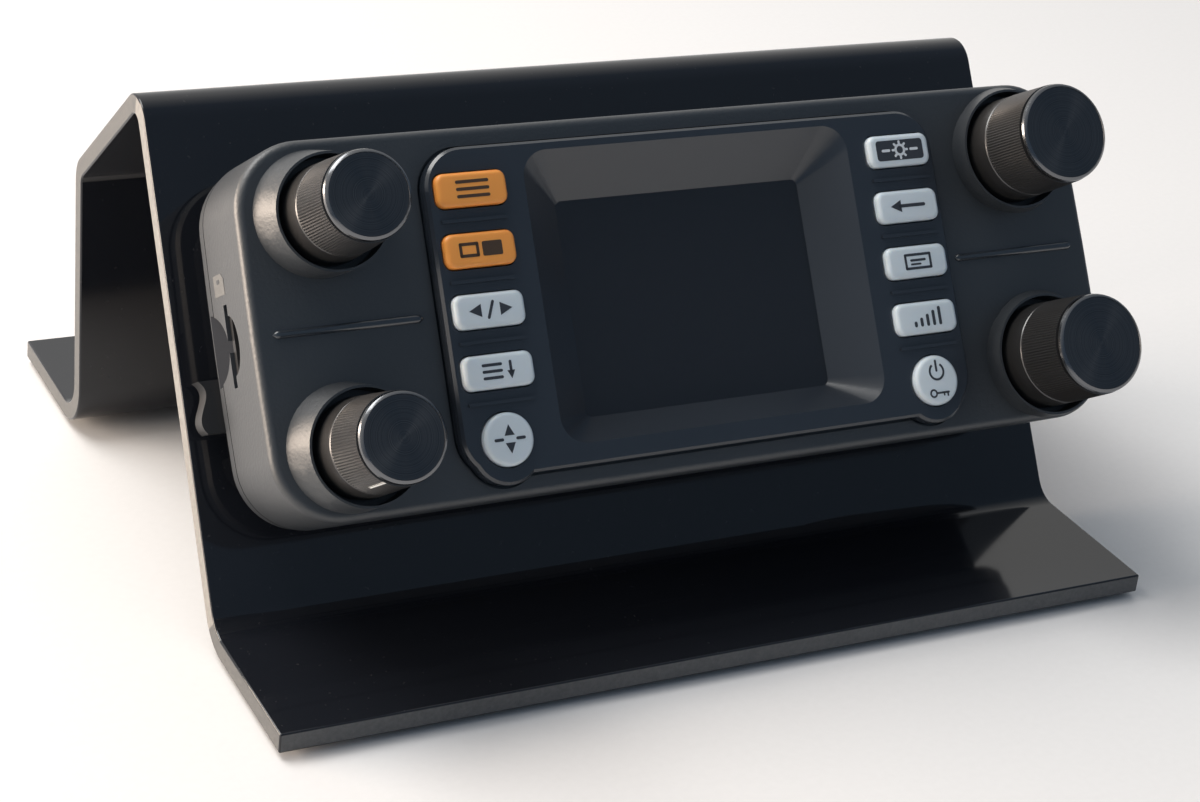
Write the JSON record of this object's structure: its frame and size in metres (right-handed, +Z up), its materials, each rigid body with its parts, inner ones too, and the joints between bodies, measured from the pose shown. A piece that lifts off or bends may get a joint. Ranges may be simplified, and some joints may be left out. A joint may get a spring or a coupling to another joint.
{
  "type": "transceiver control head on a desk stand",
  "caption": "Detachable control head of a mobile transceiver, with knobs, keys and a small display, clipped to a bracket on a bent-sheet desk stand.",
  "frame": {"origin": "on the table, under the middle of the stand's footprint", "axes": "+X to the user's right, -Y towards the user, +Z up; the panel slopes at 57.4 degrees"},
  "size_m": [0.1426, 0.1224, 0.0774],
  "materials": {
    "stand_black": "polished black acrylic sheet with saw-cut edges",
    "foot_rubber": "matt rubber pad",
    "bracket_black": "moulded, fine texture",
    "case_black": "moulded, fine pebbled texture",
    "bezel_black": "satin moulding",
    "window_clear": "smoked clear window",
    "display_dark": "unlit liquid-crystal display",
    "inner_plastic": "moulded nylon",
    "key_white": "translucent milky moulding",
    "key_orange": "translucent orange moulding",
    "knob_black": "satin with knurled band and spun nose",
    "pointer_white": "white inlay",
    "steel": "zinc plated",
    "board_green": "glass-fibre board with lacquer",
    "contact_gold": "plated contact",
    "mat_rubber": "silicone rubber",
    "component_black": "moulded package",
    "flex_amber": "polyimide film"
  },
  "bodies": {
    "stand": {"stand_sheet": "stand_black", "stand_feet": "foot_rubber", "mount_bracket": "bracket_black", "lever_pin": "steel", "lever_spring": "steel", "bracket_screws": "steel", "bracket_washers": "steel", "bracket_nuts": "steel"},
    "lever": {"release_lever": "bracket_black"},
    "head": {"front_case": "case_black", "rear_case": "case_black", "case_screws": "steel", "center_bezel": "bezel_black", "window_lens": "window_clear", "display_panel": "display_dark", "display_holder": "inner_plastic", "display_flex": "flex_amber", "front_board": "board_green", "front_board_screws": "steel", "main_board": "board_green", "main_board_screws": "steel", "board_connector": "component_black", "controller_chip": "component_black", "dome_switches": "contact_gold", "card_socket": "steel", "controller_jack": "component_black", "keypad_mat_left": "mat_rubber", "keypad_mat_right": "mat_rubber", "dial_encoder_left": "component_black", "dial_encoder_right": "component_black", "volume_control_left": "component_black", "volume_control_right": "component_black"},
    "card": {"memory_card": "component_black"},
    "menu_key": {"menu_key": "key_orange"},
    "group_key": {"group_key": "key_orange"},
    "band_key": {"band_key": "key_white"},
    "memory_key": {"memory_key": "key_white"},
    "channel_key": {"channel_key": "key_white"},
    "function_key": {"function_key": "key_white"},
    "back_key": {"back_key": "key_white"},
    "display_key": {"display_key": "key_white"},
    "squelch_key": {"squelch_key": "key_white"},
    "power_key": {"power_key": "key_white"},
    "push_left": {"push_plunger_left": "inner_plastic"},
    "dial_left": {"dial_knob_left": "knob_black", "dial_shaft_left": "steel"},
    "volume_left": {"volume_knob_left": "knob_black", "volume_pointer_left": "pointer_white", "volume_shaft_left": "steel"},
    "push_right": {"push_plunger_right": "inner_plastic"},
    "dial_right": {"dial_knob_right": "knob_black", "dial_shaft_right": "steel"},
    "volume_right": {"volume_knob_right": "knob_black", "volume_pointer_right": "pointer_white", "volume_shaft_right": "steel"}
  },
  "joints": [
    {"name": "head_slide", "type": "slide", "parent": "stand", "child": "head", "axis": [0, 0.5388, 0.8425], "range_m": [0, 0.03]},
    {"name": "lever_swing", "type": "hinge", "parent": "stand", "child": "lever", "pos_m": [-0.0504, -0.0223, 0.02983], "axis": [0, -0.8425, 0.5388], "range_deg": [0, 6], "stiffness_Nm_per_rad": 0.05, "deforming": ["lever_spring"]},
    {"name": "card_slide", "type": "slide", "parent": "head", "child": "card", "axis": [-1, 0, 0], "range_m": [0, 0.016]},
    {"name": "menu_press", "type": "slide", "parent": "head", "child": "menu_key", "axis": [0, 0.8425, -0.5388], "range_m": [0, 0.0006], "stiffness_N_per_m": 300, "springref_m": -0.0004},
    {"name": "group_press", "type": "slide", "parent": "head", "child": "group_key", "axis": [0, 0.8425, -0.5388], "range_m": [0, 0.0006], "stiffness_N_per_m": 300, "springref_m": -0.0004},
    {"name": "band_press", "type": "slide", "parent": "head", "child": "band_key", "axis": [0, 0.8425, -0.5388], "range_m": [0, 0.0006], "stiffness_N_per_m": 300, "springref_m": -0.0004},
    {"name": "memory_press", "type": "slide", "parent": "head", "child": "memory_key", "axis": [0, 0.8425, -0.5388], "range_m": [0, 0.0006], "stiffness_N_per_m": 300, "springref_m": -0.0004},
    {"name": "channel_press", "type": "slide", "parent": "head", "child": "channel_key", "axis": [0, 0.8425, -0.5388], "range_m": [0, 0.0006], "stiffness_N_per_m": 300, "springref_m": -0.0004},
    {"name": "function_press", "type": "slide", "parent": "head", "child": "function_key", "axis": [0, 0.8425, -0.5388], "range_m": [0, 0.0006], "stiffness_N_per_m": 300, "springref_m": -0.0004},
    {"name": "back_press", "type": "slide", "parent": "head", "child": "back_key", "axis": [0, 0.8425, -0.5388], "range_m": [0, 0.0006], "stiffness_N_per_m": 300, "springref_m": -0.0004},
    {"name": "display_press", "type": "slide", "parent": "head", "child": "display_key", "axis": [0, 0.8425, -0.5388], "range_m": [0, 0.0006], "stiffness_N_per_m": 300, "springref_m": -0.0004},
    {"name": "squelch_press", "type": "slide", "parent": "head", "child": "squelch_key", "axis": [0, 0.8425, -0.5388], "range_m": [0, 0.0006], "stiffness_N_per_m": 300, "springref_m": -0.0004},
    {"name": "power_press", "type": "slide", "parent": "head", "child": "power_key", "axis": [0, 0.8425, -0.5388], "range_m": [0, 0.0006], "stiffness_N_per_m": 300, "springref_m": -0.0004},
    {"name": "dial_push_left", "type": "slide", "parent": "head", "child": "push_left", "axis": [0, 0.8425, -0.5388], "range_m": [0, 0.0005], "stiffness_N_per_m": 600, "springref_m": -0.0004},
    {"name": "dial_turn_left", "type": "hinge", "parent": "push_left", "child": "dial_left", "pos_m": [-0.055, -0.02535, 0.06217], "axis": [0, -0.8425, 0.5388], "continuous": true},
    {"name": "volume_turn_left", "type": "hinge", "parent": "head", "child": "volume_left", "pos_m": [-0.055, -0.04276, 0.03496], "axis": [0, -0.8425, 0.5388], "range_deg": [-285, 15]},
    {"name": "dial_push_right", "type": "slide", "parent": "head", "child": "push_right", "axis": [0, 0.8425, -0.5388], "range_m": [0, 0.0005], "stiffness_N_per_m": 600, "springref_m": -0.0004},
    {"name": "dial_turn_right", "type": "hinge", "parent": "push_right", "child": "dial_right", "pos_m": [0.0582, -0.02535, 0.06217], "axis": [0, -0.8425, 0.5388], "continuous": true},
    {"name": "volume_turn_right", "type": "hinge", "parent": "head", "child": "volume_right", "pos_m": [0.0582, -0.04276, 0.03496], "axis": [0, -0.8425, 0.5388], "range_deg": [-120, 180]}
  ]
}
